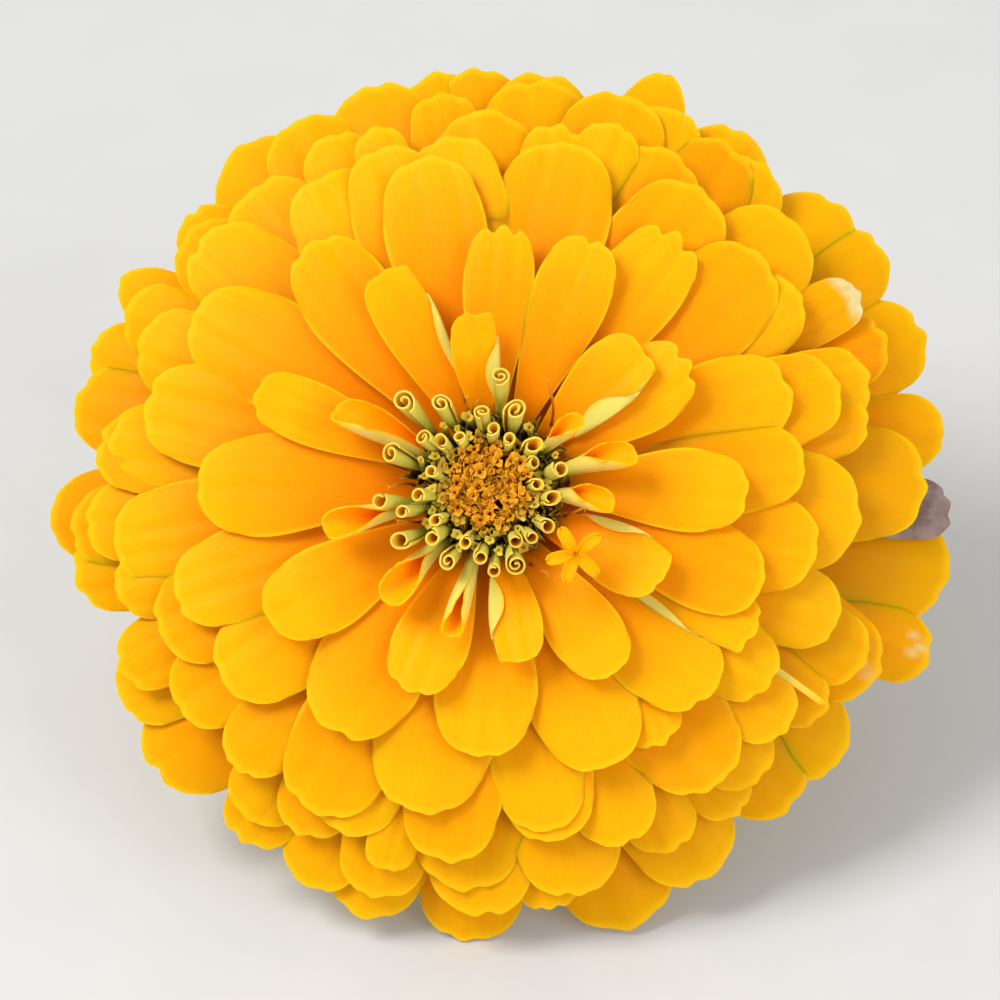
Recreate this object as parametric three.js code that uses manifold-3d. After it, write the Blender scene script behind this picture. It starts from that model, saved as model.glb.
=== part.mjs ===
// A double yellow zinnia, picked with a short stem and laid down on a flat surface.
// Millimetres, +Z up. The head leans on its lower outer petals and on the stem's cut end.
// Flower coordinates: z runs along the flower's axis, from the neck at 0 to the disc; an azimuth of
// 90 degrees is the side that ends uppermost, and 270 degrees the side that touches the surface.
import * as THREE from "three";
import { mergeVertices } from "three/addons/utils/BufferGeometryUtils.js";
import Module from "manifold-3d";

// Attitude of the picked flower.
const LEAN = 45; // degrees from face-up
const NECK = new THREE.Vector3(0, 9.1, 27.2); // where the stem meets the head, from the part's origin
const RESTING_RAYS = [250.5, 266, 285.5]; // azimuths of the outermost rays that touch the surface
const RESTING_REACH = 50; // least reach of those rays
const CLEARANCE = 0.4; // least height of the other rays over the surface

// Stem.
const STEM_LENGTH = 35.1;
const STEM_RADIUS = 3.1;
const NECK_RADIUS = 4.1;
const STEM_RIBS = 6;
const STEM_RIDGE = 0.25;
const STEM_BEND = 2.5; // sideways at the cut end
const FLARE_LENGTH = 6; // below the neck

// Head.
const GAP = 0.3; // between one piece and the next
const CUP_TOP = 12.2;
const CUP_RADIUS = 12.2;
const CUP_PROFILE = [
  [GAP, NECK_RADIUS + 0.2],
  [2.6, 8.6],
  [6, 11.2],
  [CUP_TOP - 2, CUP_RADIUS],
  [CUP_TOP, CUP_RADIUS - 0.8],
]; // the cup's outside as [height, radius]
const BRACTS_IN_ROW = 12;
const BRACT_LIPS = [3.6, 6.6, 9.4]; // heights of the bract tips, row by row
const BRACT_SCALLOP = 1.1; // between a bract's tip and the dip beside it
const BRACT_PROUD = 0.7;
const BRACT_UNDERCUT = 0.15; // height over which a bract's tip steps back to the cup
const CORE_BOTTOM = CUP_TOP + GAP;
const CORE_TOP = 30;
const CORE_WIDE = 10.6;
const CORE_NARROW = 7;
const ROUND_SIDES = 18; // facets of the receptacle and the collar
const COLLAR_TOP = 33.4;
const COLLAR_OUTER = 6.3;
const COLLAR_INNER = 4.6;
const COLLAR_BEVEL = 0.6;
const COLLAR_FLARE = 0.2;
const DISC_RADIUS = COLLAR_INNER - GAP;
const DISC_TOP = 33.6;
const DISC_SECTORS = 14;
const DISC_PROFILE = [[1, 1.8], [0.75, 0.9], [0.42, 0.4], [0, 0]]; // [share of radius, drop]
const CHAFF_PEAK = 0.5;
const CHAFF_DIP = -0.4;
const SCROLL_HEIGHT = 35.6; // of the innermost rolled rays
const SCROLL_RISE = 0.38; // further up for each millimetre outwards
const SCROLL_SIDES = 5;
const SCROLL_MOUTH = 1.4; // depth of the sunk mouth, and of the foot in the collar
const SCROLL_LEAN = 0.6; // distance of the foot as a share of the mouth's
const SCROLL_RINGS = [0.5, 1, 0.62, 0.4]; // girth at the foot, the mouth, its inner edge, its floor

// Ray florets.
const INNER_REACH = 14;
const OUTER_REACH = 54.5;
const DOME_RADIUS = 55;
const DOME_RISE = 38;
const LOWEST_REACH = 52.8; // rays that reach further end at the same height as one of this reach
const BLADE = 0.65; // thickness
const TIP_NOTCH = 0.5;
const ROOT_DEPTH = 1.2; // of a ray's root inside the receptacle
const RISE = [66, 2]; // degrees at the root, of the youngest and of the oldest ray
const DROOP = [30, -38]; // degrees at the tip, likewise
const ROOT_PULL = 0.38; // share of a ray's length over which it keeps the direction of its root
const TIP_PULL = 0.34; // likewise at its tip
const ROLL = 5; // degrees, so that each ray laps over the next one
const ROLL_SPREAD = 2;

// Each ray floret as [azimuth in degrees, reach from the axis, width].
const HALF_ROLLED_RAYS = [
  [12, 17.2, 4.4], [352, 14.6, 3.8], [97, 19.5, 4.6], [152, 19.5, 4.6],
  [195, 19.4, 4.6], [229, 17.8, 4.4], [257.5, 18.1, 4.2], [281, 20.6, 6.4], [33.4, 13.4, 3.4],
];
const OPEN_RAYS = [
  [42, 23.3, 7.5], [330.3, 22.5, 7.3],

  [359, 29.3, 9.6], [31, 26.8, 9.6], [66.7, 30.7, 9], [88.5, 30, 8.1], [115.7, 27.4, 6.7],
  [158, 29, 7.3], [212.5, 29.5, 10.1], [250, 25.3, 8.8], [269.6, 30.8, 11.8], [302, 25.7, 8.4],

  [19.3, 36, 11.2], [54.3, 36.4, 10.3], [128, 35.3, 10.8], [178.3, 33.7, 11.9], [198, 38.3, 10.9],
  [235.8, 33.2, 12.9], [293.3, 34.6, 12.5], [315.5, 34.4, 11.7], [341.3, 32.9, 10.8],
  [3, 35.8, 10.3], [331, 34.3, 7], [304, 35.2, 8.2], [102.7, 39.3, 11.9], [147, 40.4, 12.8],
  [214.5, 37.8, 12.6], [257.2, 37.8, 14], [279.2, 39.5, 10.6], [347, 37.8, 12.1], [324, 38.8, 10],

  [39.5, 41, 12.9], [78.4, 41.5, 14], [57, 42.4, 12.9], [32, 41.9, 10.8], [15.8, 41.4, 11.1],
  [355.3, 42.1, 15.2], [96, 41.9, 11.7], [110, 42.1, 11.1], [120.5, 42.1, 11.3],
  [163.8, 41.9, 12.2], [200.5, 41.9, 13.1], [240, 42, 13.1], [245.5, 42.8, 11.1],
  [228, 43.2, 9.9], [263, 42.5, 11.7], [281.5, 40.7, 11.1], [289, 42.9, 11],
  [306.3, 42.2, 13.3], [320.8, 43.1, 9.8], [337.3, 42.2, 10.3],

  [61.5, 44.9, 13.3], [17, 44.9, 10.1], [74, 45.2, 8.8], [93.3, 44.9, 13.6], [115, 46.7, 10.3],
  [137.5, 45.3, 12.3], [155.8, 45.5, 11.7], [170, 45.4, 10.3], [186.5, 44.6, 11.7],
  [195.5, 45.2, 9.7], [214.5, 44.2, 11.1], [238.5, 45.2, 9.9], [266, 45.7, 13.6],
  [281.5, 46.8, 13.1], [298.3, 45.9, 9.7], [311, 44.9, 10.4], [326.5, 45.6, 8.2],
  [335, 46.6, 9.9], [40.5, 47, 14.2], [31, 47.7, 7], [183, 47.5, 10.5], [203.5, 47.7, 9.4],
  [232.3, 47.2, 10.5], [252.5, 48, 11], [266.5, 48.1, 13.7], [277, 48.1, 9.9],
  [128, 46.3, 12.9], [140, 48.1, 11.7],

  [22.3, 48.9, 9.9], [51, 50.3, 11.7], [2.5, 49.4, 14.2], [72, 49.7, 13.5], [84, 50.1, 14.6],
  [97, 48.4, 8.8], [151, 49.3, 9.9], [136.5, 50, 9.4], [185.5, 49.6, 11.1], [191.5, 50, 11.1],
  [206.5, 50, 11.7], [232, 49.5, 9.9], [242, 49.8, 11.1], [250.5, 50.5, 12.5], [298, 50.1, 13.5],
  [312, 49.5, 11.7], [321.5, 49.8, 12.9], [336.5, 48.4, 12.4], [115.5, 50.5, 14],

  [42, 53.7, 14.9], [34, 54.2, 11.7], [22, 53.9, 12.3], [8, 52.5, 9.9], [57.5, 52.3, 13.2],
  [70.5, 54.1, 8.8], [85, 51.2, 12.9], [99, 51.9, 11.7], [107, 51.2, 14], [126, 52.9, 15.1],
  [149, 51.7, 8.8], [159, 51.2, 9.9], [168, 51.1, 11.2], [180, 52.8, 11.7], [219, 51.1, 14.9],
  [266, 51.6, 13.1], [285.5, 51.8, 14.9], [341, 53, 9.4], [350.3, 52.9, 14.6],
];

// Each rolled young ray as [azimuth in degrees, distance of its mouth from the axis, its width].
const SCROLLS = [
  [136.5, 13, 2.6], [121, 10.3, 2.1], [83, 11.9, 2.3], [95, 8, 2], [69, 8.7, 2.4],
  [85, 6.1, 1.6], [145.7, 8.9, 2], [138.7, 7.1, 1.6], [122.7, 6.1, 1.5], [64.8, 5.5, 1.5],
  [39, 6.6, 2], [164, 11.4, 2.3], [169, 6.6, 1.5], [23.3, 5.6, 1.5],
  [9.3, 8.3, 1.9], [357, 5.5, 1.5], [345.5, 7.5, 1.8], [190.8, 8.1, 1.7], [190.9, 12.4, 1.9],
  [216.4, 7.4, 1.5], [322.5, 8.5, 1.8], [214.6, 12, 2.1], [225.5, 9, 1.8], [249.7, 7.4, 1.5],
  [294.5, 7.5, 1.7], [307.7, 8.1, 1.6], [243.7, 10.2, 2], [264.4, 8.7, 1.7], [288.4, 10.1, 2.5],
];

const radians = THREE.MathUtils.degToRad;
const lerp = THREE.MathUtils.lerp;
const clamp = THREE.MathUtils.clamp;

const wasm = await Module();
wasm.setup();

// Seeded draw between -1 and 1 for item i and trait k.
function draw(i, k) {
  const wave = Math.sin(i * 12.9898 + k * 78.233) * 43758.5453;
  return 2 * (wave - Math.floor(wave)) - 1;
}

function solidOf(geometry) {
  const bare = geometry.clone();
  bare.deleteAttribute("normal");
  bare.deleteAttribute("uv");
  const merged = mergeVertices(bare, 1e-4);
  return new wasm.Manifold(
    new wasm.Mesh({
      numProp: 3,
      vertProperties: new Float32Array(merged.attributes.position.array),
      triVerts: new Uint32Array(merged.index.array),
    }),
  );
}

function geometryOf(solid) {
  const mesh = solid.getMesh();
  const geometry = new THREE.BufferGeometry();
  geometry.setAttribute("position", new THREE.BufferAttribute(mesh.vertProperties, 3));
  geometry.setIndex(new THREE.BufferAttribute(mesh.triVerts, 1));
  geometry.computeVertexNormals();
  return geometry;
}

// Joins solids into one body: the largest shell, so that a hollow that joining seals is filled.
function fuse(solids) {
  const shells = solids.reduce((whole, piece) => whole.add(piece)).decompose();
  return shells.reduce((a, b) => (b.volume() > a.volume() ? b : a));
}

// Closed solid from rings of points, all rings with the same count, capped at both ends.
function loft(rings) {
  const count = rings[0].length;
  const positions = rings.flat().flatMap((p) => [p.x, p.y, p.z]);
  const index = [];
  for (let ring = 0; ring + 1 < rings.length; ring += 1) {
    for (let i = 0; i < count; i += 1) {
      const a = ring * count + i;
      const b = ring * count + ((i + 1) % count);
      index.push(a, b, b + count, a, b + count, a + count);
    }
  }
  const last = (rings.length - 1) * count;
  for (let i = 1; i + 1 < count; i += 1) {
    index.push(0, i + 1, i, last, last + i, last + i + 1);
  }
  const geometry = new THREE.BufferGeometry();
  geometry.setAttribute("position", new THREE.Float32BufferAttribute(positions, 3));
  geometry.setIndex(index);
  return geometry;
}

// Closed blade: a grid of points on its middle surface, thickened by half on each face.
function blade(rows, normals, thickness) {
  const across = rows[0].length;
  const count = rows.length * across;
  const shifted = (side) =>
    rows.flatMap((row, r) =>
      row.map((p, c) => p.clone().addScaledVector(normals[r][c], (side * thickness) / 2)),
    );
  const positions = [...shifted(1), ...shifted(-1)].flatMap((p) => [p.x, p.y, p.z]);
  const index = [];
  for (let r = 0; r + 1 < rows.length; r += 1) {
    for (let c = 0; c + 1 < across; c += 1) {
      const a = r * across + c;
      const corners = [a, a + across, a + across + 1, a + 1];
      const [p, q, s, t] = c % 2 ? corners : [corners[3], corners[0], corners[1], corners[2]];
      index.push(p, q, s, p, s, t);
      index.push(p + count, s + count, q + count, p + count, t + count, s + count);
    }
  }
  const edge = [];
  for (let c = 0; c < across; c += 1) edge.push(c);
  for (let r = 1; r < rows.length; r += 1) edge.push(r * across + across - 1);
  for (let c = across - 2; c >= 0; c -= 1) edge.push((rows.length - 1) * across + c);
  for (let r = rows.length - 2; r > 0; r -= 1) edge.push(r * across);
  edge.forEach((a, i) => {
    const b = edge[(i + 1) % edge.length];
    index.push(a, b, b + count, a, b + count, a + count);
  });
  const geometry = new THREE.BufferGeometry();
  geometry.setAttribute("position", new THREE.Float32BufferAttribute(positions, 3));
  geometry.setIndex(index);
  return geometry;
}

function polar(azimuth, distance, z) {
  return new THREE.Vector3(
    distance * Math.cos(radians(azimuth)),
    distance * Math.sin(radians(azimuth)),
    z,
  );
}

// Radius of the receptacle cone at a height.
function coreRadius(z) {
  const share = clamp((z - CORE_BOTTOM) / (CORE_TOP - CORE_BOTTOM), 0, 1);
  return lerp(CORE_WIDE, CORE_NARROW, share);
}

// Height of the dome that the tips of the ray florets make.
function domeHeight(reach) {
  return DOME_RISE * Math.sqrt(1 - (reach / DOME_RADIUS) ** 2);
}

// Middle line of a ray floret in the plane of its azimuth, as a curve of (distance, height). Rays
// are rooted down the cone in the order of their reach: order runs from 0, youngest, to 1, oldest.
function rayLine(reach, order) {
  const age = clamp((reach - INNER_REACH) / (OUTER_REACH - INNER_REACH), 0, 1);
  const rootHeight = lerp(CORE_TOP - ROOT_DEPTH, CORE_BOTTOM + ROOT_DEPTH, order);
  const root = new THREE.Vector2(coreRadius(rootHeight) - ROOT_DEPTH, rootHeight);
  const tip = new THREE.Vector2(reach, domeHeight(Math.min(reach, LOWEST_REACH)));
  const length = root.distanceTo(tip);
  const rise = radians(lerp(...RISE, age));
  const droop = radians(lerp(...DROOP, age));
  return new THREE.CubicBezierCurve(
    root,
    new THREE.Vector2(Math.cos(rise), Math.sin(rise)).multiplyScalar(ROOT_PULL * length).add(root),
    new THREE.Vector2(-Math.cos(droop), -Math.sin(droop)).multiplyScalar(TIP_PULL * length).add(tip),
    tip,
  );
}

// Stations along a ray floret: share of its length, share of its half width, and how far the
// margins stand above the middle as a share of the half width.
const RAY_STATIONS = [
  [0, 0.12, 0.36],
  [0.45, 0.68, 0.1],
  [0.82, 1, -0.06],
  [1, 0.56, -0.12],
];

function rayFloret([azimuth, reach, width], i, rays) {
  const line = rayLine(reach, i / (rays.length - 1));
  const side = polar(azimuth + 90, 1, 0);
  const roll = radians(ROLL + ROLL_SPREAD * draw(i, 1));
  const rows = [];
  const normals = [];
  RAY_STATIONS.forEach(([along, wide, rise], station) => {
    const point = line.getPoint(along);
    const tangent = line.getTangent(along);
    const middle = polar(azimuth, point.x, point.y);
    const up = polar(azimuth, -tangent.y, tangent.x);
    const across = side.clone().multiplyScalar(Math.cos(roll)).addScaledVector(up, Math.sin(roll));
    const half = (wide * width) / 2;
    const last = station === RAY_STATIONS.length - 1;
    rows.push(
      [-1, 0, 1].map((v) => {
        const p = middle.clone().addScaledVector(across, v * half);
        if (v === 0 && last) p.addScaledVector(polar(azimuth, tangent.x, tangent.y), -TIP_NOTCH);
        return p.addScaledVector(up, v * v * rise * half);
      }),
    );
    normals.push([up, up, up]);
  });
  const rests = RESTING_RAYS.includes(azimuth) && reach > RESTING_REACH;
  return held(blade(rows, normals, BLADE), rests ? 0 : CLEARANCE);
}

// Lifts what would dip below a height over the surface that the flower lies on.
function held(geometry, height) {
  const up = new THREE.Vector3(0, Math.sin(radians(LEAN)), Math.cos(radians(LEAN)));
  const place = geometry.attributes.position;
  const point = new THREE.Vector3();
  for (let i = 0; i < place.count; i += 1) {
    point.fromBufferAttribute(place, i);
    const short = height - NECK.z - point.dot(up);
    if (short > 0) {
      point.addScaledVector(up, short);
      place.setXYZ(i, point.x, point.y, point.z);
    }
  }
  return geometry;
}

// The receptacle cone with every half-rolled and open ray floret rooted in it.
function rayFlorets() {
  const core = new THREE.LatheGeometry(
    [
      new THREE.Vector2(0, CORE_BOTTOM),
      new THREE.Vector2(CORE_WIDE, CORE_BOTTOM),
      new THREE.Vector2(CORE_NARROW, CORE_TOP),
      new THREE.Vector2(0, CORE_TOP),
    ],
    ROUND_SIDES,
  ).rotateX(Math.PI / 2);
  const rays = [...HALF_ROLLED_RAYS, ...OPEN_RAYS].sort((a, b) => a[1] - b[1]).map(rayFloret);
  return fuse([core, ...rays].map(solidOf));
}

// A tube-like rolled ray that stands on the collar, with a sunk mouth.
function scroll([azimuth, distance, width]) {
  const middle = [COLLAR_INNER + COLLAR_BEVEL, COLLAR_OUTER - COLLAR_BEVEL];
  const foot = clamp(distance * SCROLL_LEAN, ...middle);
  const root = polar(azimuth, foot, COLLAR_TOP - SCROLL_MOUTH);
  const mouth = polar(azimuth, distance, SCROLL_HEIGHT + SCROLL_RISE * (distance - COLLAR_INNER));
  const lean = mouth.clone().sub(root).normalize();
  const inward = mouth.clone().addScaledVector(lean, -SCROLL_MOUTH);
  const right = new THREE.Vector3().crossVectors(lean, polar(azimuth, 1, 0)).normalize();
  const front = new THREE.Vector3().crossVectors(right, lean).normalize();
  const rings = [root, mouth, mouth, inward].map((centre, ring) =>
    Array.from({ length: SCROLL_SIDES }, (_, k) => {
      const turn = (2 * Math.PI * k) / SCROLL_SIDES;
      const radius = (SCROLL_RINGS[ring] * width) / 2;
      return centre
        .clone()
        .addScaledVector(front, Math.cos(turn) * radius)
        .addScaledVector(right, Math.sin(turn) * radius);
    }),
  );
  return loft(rings);
}

// The rolled young rays on the collar that carries them.
function youngRays() {
  const collar = new THREE.LatheGeometry(
    [
      new THREE.Vector2(COLLAR_INNER, CORE_TOP + GAP),
      new THREE.Vector2(COLLAR_OUTER, CORE_TOP + GAP),
      new THREE.Vector2(COLLAR_OUTER, COLLAR_TOP - COLLAR_BEVEL),
      new THREE.Vector2(COLLAR_INNER + COLLAR_FLARE, COLLAR_TOP),
      new THREE.Vector2(COLLAR_INNER, CORE_TOP + GAP),
    ],
    ROUND_SIDES,
  ).rotateX(Math.PI / 2);
  return fuse([collar, ...SCROLLS.map(scroll)].map(solidOf));
}

// The disc in the centre, with its chaff tips as a spiky relief.
function discFlorets() {
  const foot = CORE_TOP + GAP;
  const crown = DISC_PROFILE.map(([share, drop]) => [share, DISC_TOP - drop]);
  const profile = [[0, foot], [1, foot], ...crown];
  const points = profile.map(([share, z]) => new THREE.Vector2(share * DISC_RADIUS, z));
  const disc = new THREE.LatheGeometry(points, DISC_SECTORS).rotateX(Math.PI / 2);
  const place = disc.attributes.position;
  for (let i = 0; i < place.count; i += 1) {
    const across = Math.hypot(place.getX(i), place.getY(i)) / DISC_RADIUS;
    const turn = Math.atan2(place.getY(i), place.getX(i)) + Math.PI / 2;
    const sector = Math.round((turn * DISC_SECTORS) / (2 * Math.PI));
    const ring = Math.round(across * 5);
    if (place.getZ(i) > foot + 1 && across > 0.1) {
      const relief = (sector + ring) % 2 === 0 ? CHAFF_PEAK : CHAFF_DIP;
      place.setZ(i, place.getZ(i) + relief);
    }
  }
  return solidOf(disc);
}

// Radius of the cup's outside at a height.
function cupRadius(z) {
  const found = CUP_PROFILE.findIndex(([height]) => height >= z);
  const step = clamp(found, 1, CUP_PROFILE.length - 1);
  const [low, lowRadius] = CUP_PROFILE[step - 1];
  const [high, highRadius] = CUP_PROFILE[step];
  return lerp(lowRadius, highRadius, (z - low) / (high - low));
}

// Green cup below the rays, with its rows of overlapping bracts raised from it as scales. Each row
// swells towards a scalloped lip, and the next one starts from behind that lip.
function involucre() {
  const sectors = 2 * BRACTS_IN_ROW;
  const ring = (height, bump, dip, row) =>
    Array.from({ length: sectors }, (_, k) => {
      const margin = (k + row) % 2;
      const z = height - dip * margin;
      return polar((360 * k) / sectors, cupRadius(z) + bump * (1 - 0.35 * margin), z);
    });
  const rings = [ring(GAP, 0, 0, 0)];
  BRACT_LIPS.forEach((lip, row) => {
    rings.push(ring(lip, BRACT_PROUD, BRACT_SCALLOP, row));
    rings.push(ring(lip + BRACT_UNDERCUT, -0.1, BRACT_SCALLOP, row));
  });
  rings.push(ring(CUP_TOP, 0, 0, 0));
  return solidOf(loft(rings));
}

function stem() {
  const sides = 2 * STEM_RIBS;
  const stations = [
    [0, NECK_RADIUS],
    [-FLARE_LENGTH, STEM_RADIUS + 0.2],
    [-STEM_LENGTH / 2, STEM_RADIUS - 0.1],
    [-STEM_LENGTH, STEM_RADIUS],
  ];
  const rings = stations.map(([z, radius]) =>
    Array.from({ length: sides }, (_, k) => {
      const turn = (360 * k) / sides;
      const point = polar(turn, radius + (k % 2 ? STEM_RIDGE : -STEM_RIDGE), z);
      point.x -= STEM_BEND * (z / STEM_LENGTH) ** 2;
      return point;
    }),
  );
  return solidOf(loft(rings.reverse()));
}

const flower = new THREE.Group();
flower.position.copy(NECK);
flower.rotation.x = radians(LEAN);

function add(name, solid, colour, roughness) {
  const material = new THREE.MeshStandardMaterial({ color: colour, roughness, metalness: 0 });
  const mesh = new THREE.Mesh(geometryOf(solid), material);
  mesh.name = name;
  flower.add(mesh);
}

add("ray_florets", rayFlorets(), 0xffb808, 0.55);
add("young_rays", youngRays(), 0xc9be3c, 0.55);
add("disc_florets", discFlorets(), 0xd9820f, 0.7);
add("involucre", involucre(), 0x5f7a35, 0.7);
add("stem", stem(), 0x6f8f45, 0.65);

const zinnia = new THREE.Group();
zinnia.add(flower);
export default zinnia;
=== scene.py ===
"""A double yellow zinnia, picked with a short stem, lying on its lower petals and the stem's end.

Flower coordinates are in millimetres: z runs along the flower's axis from the neck to the disc, and
an azimuth of 90 degrees is the side that ends uppermost. Objects are made in metres, +Z up.
"""
import math

import bpy
import numpy as np
from mathutils import Matrix, Vector


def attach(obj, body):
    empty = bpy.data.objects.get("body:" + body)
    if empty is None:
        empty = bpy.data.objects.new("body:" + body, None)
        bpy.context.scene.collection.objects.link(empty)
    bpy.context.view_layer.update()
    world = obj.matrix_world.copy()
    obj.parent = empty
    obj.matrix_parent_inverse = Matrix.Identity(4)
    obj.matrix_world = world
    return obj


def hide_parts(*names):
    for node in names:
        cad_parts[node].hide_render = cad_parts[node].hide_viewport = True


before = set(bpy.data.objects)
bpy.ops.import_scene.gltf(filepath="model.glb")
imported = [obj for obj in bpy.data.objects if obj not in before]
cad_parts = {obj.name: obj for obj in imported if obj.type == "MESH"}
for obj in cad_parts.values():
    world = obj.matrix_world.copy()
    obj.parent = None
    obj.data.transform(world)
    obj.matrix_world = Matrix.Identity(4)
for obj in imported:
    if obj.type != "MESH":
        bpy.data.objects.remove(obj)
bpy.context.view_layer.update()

# ---------------- attitude and sizes

MM = 0.001
LEAN = math.radians(45)
TURN = np.array(Matrix.Rotation(LEAN, 3, "X"))  # from flower coordinates to the part's frame
NECK = np.array((0, 9.1, 27.2))  # where the stem meets the cup, in the part's frame
UP = np.array((0, math.sin(LEAN), math.cos(LEAN)))  # the world's up in flower coordinates
CLEARANCE = 0.25  # between the rays and the surface that the flower lies on
RESTING_CLEARANCE = 0.12
RESTING_RAYS = (250.5, 266, 285.5)  # azimuths of the lowest rays, where they reach this far
RESTING_REACH = 50

STEM_LENGTH = 35.1
STEM_RADIUS = 3.1
NECK_RADIUS = 4.1
STEM_BEND = 2.5

GAP = 0.3
CUP_TOP = 12.2
CUP_RADIUS = 12.2
CORE_BOTTOM = CUP_TOP + GAP  # of the receptacle, a cone that narrows upwards
CORE_TOP = 30
CORE_WIDE = 10.6
CORE_NARROW = 7
SCROLL_HEIGHT = 35.6  # of a rolled ray's mouth at the inner distance, and its rise outwards
SCROLL_INNER = 4.6
SCROLL_RISE = 0.38

INNER_REACH = 14
OUTER_REACH = 54.5
DOME_RADIUS = 55  # of the dome on which the rays' tips lie
DOME_RISE = 38
LOWEST_REACH = 52.8  # tips farther out are no lower

# A ray is (azimuth in degrees, reach from the axis, width) and may have words, which say:
#   left, right   that margin is folded over, a narrow strip of it if slim
#   turned        the underside is up
#   roll          rolled into a tube, tighter if closed, wider if open, leaning over if cw or ccw
#   point, split, notch, lobes   the outline of the tip
#   orange, pale, shade          the colour of the whole ray, painted shade for shade
#   hem, spot, worn, dry         a bleached tip, one pale speck, three, and a withered ray
HALF_ROLLED_RAYS = [
    (12, 17.2, 4.3, "roll cw"), (352, 14.6, 4, "roll cw"), (97, 19.5, 5.2, "left"),
    (152, 19.5, 4.6, "roll ccw open"), (195, 19.4, 4.2, "roll"), (229, 17.8, 4.6, "roll"),
    (257.5, 18.1, 4.2, "roll closed"), (281.5, 20.6, 5.7, "left"), (33.4, 12.9, 2.9, "roll cw"),
]
# Open rays, from the innermost whorl to the outermost.
WHORLS = [
    [(42, 23.3, 7.5, "left"), (330.3, 22.5, 7.3, "right slim"), (359, 29.3, 9.6),
     (31, 26.8, 9.6, "lobes"), (66.7, 30.7, 9, "split"), (88.5, 30, 8.1, "lobes"),
     (115.7, 27.4, 6.7, "left slim"), (158, 29, 7.3), (212.5, 29.5, 10.1), (250, 25.3, 8.8),
     (269.6, 30.8, 11.8), (302, 25.7, 8.4)],
    [(19.3, 36, 11.2), (54.3, 36.4, 10.3, "notch"), (128, 35.3, 10.8), (178.3, 33.7, 11.9),
     (198, 38.3, 10.9), (235.8, 33.2, 12.9), (293.3, 34.6, 12.5), (315.5, 34.4, 11.7),
     (341.3, 32.9, 10.8, "orange"), (3, 35.8, 10.3), (331.5, 34.3, 7, "left slim"),
     (304, 35.2, 8.2), (102.7, 39.3, 11.9), (147, 40.4, 12.8), (214.5, 37.8, 12.6),
     (257.2, 37.8, 14), (279.2, 39.5, 10.6), (347, 37.8, 12.1), (324, 38.8, 10)],
    [(39.5, 41, 12.9), (78.4, 41.5, 14), (57, 42.4, 12.9), (32, 41.9, 10.8), (15.8, 41.4, 11.1),
     (355.3, 42.1, 15.2), (96, 41.9, 11.7), (110, 42.1, 11.1), (120.5, 42.1, 11.3, "left slim"),
     (163.8, 41.9, 12.2), (200.5, 41.9, 13.1), (240, 42, 13.1), (245.5, 42.8, 11.1),
     (228, 43.2, 9.9), (263, 42.5, 11.7), (281.5, 40.7, 11.1), (289, 42.9, 11),
     (306.3, 42.2, 13.3), (320.8, 43.1, 9.8), (337.3, 42.2, 10.3)],
    [(61.5, 44.9, 13.3), (17, 44.9, 10.1), (74, 45.2, 8.8), (93.3, 44.9, 13.6), (115, 46.7, 10.3),
     (137.5, 45.3, 12.3), (155.8, 45.5, 11.7), (170, 45.4, 10.3), (186.5, 44.6, 11.7),
     (195.5, 45.2, 9.7), (214.5, 44.2, 11.1), (238.5, 45.2, 9.9), (266, 45.7, 13.6),
     (281.5, 46.8, 13.1), (298.3, 45.9, 9.7), (311, 44.9, 10.4), (326.5, 45.6, 8.2, "shade"),
     (335, 46.6, 9.9, "shade")],
    [(40.5, 47, 14.2), (30.5, 47.9, 7.4, "hem"), (183, 47.5, 10.5), (203.5, 47.7, 9.4),
     (232.3, 47.2, 10.5), (252.5, 48, 11), (266.5, 48.1, 13.7), (277, 48.1, 9.9),
     (128, 46.3, 12.9), (140, 48.1, 11.7), (11, 43.8, 9.4), (79, 43.8, 8.2), (106.5, 44.9, 7),
     (172.5, 46.6, 10.5), (255, 45, 6.4), (307, 46.3, 8.2, "shade"),
     (328.8, 44.4, 0.8, "turned point")],
    [(22.3, 48.9, 9.9, "orange"), (51, 50.3, 11.7), (2.5, 49.4, 14.2, "shade"), (72, 49.7, 13.5),
     (84, 50.1, 14.6), (97, 48.4, 8.8), (151, 49.3, 9.9, "pale"), (136.5, 50, 9.4),
     (185.5, 49.6, 11.1), (191.5, 50, 11.1), (206.5, 50, 11.7), (232, 49.5, 9.9, "pale"),
     (242, 49.8, 11.1), (250.5, 50.5, 12.5), (298, 50.1, 13.5), (312, 49.5, 11.7, "shade"),
     (321.5, 49.8, 12.9, "shade"), (336.5, 48.4, 12.4, "worn"), (115.5, 50.5, 14),
     (54.5, 49.6, 11.7, "orange"), (66, 50.3, 10.5)],
    [(42, 53.7, 14.9), (34, 54.2, 11.7, "pale"), (22, 53.9, 12.3), (8, 52.5, 9.9),
     (57.5, 52.3, 13.2), (70.5, 54.1, 8.8, "point"), (85, 51.2, 12.9), (99, 51.9, 11.7),
     (107, 51.2, 14), (126, 52.9, 15.1), (149, 51.7, 8.8, "point"), (159, 51.2, 9.9, "spot"),
     (168, 51.1, 11.2, "orange"), (180, 52.8, 11.7, "orange"), (219, 51.1, 14.9),
     (266, 51.6, 13.1), (285.5, 51.8, 14.9), (341, 53, 9.4, "worn"), (0.5, 52.4, 8, "dry"),
     (350.3, 52.9, 14.6, "shade"), (92, 51.6, 11.7)],
]

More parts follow.
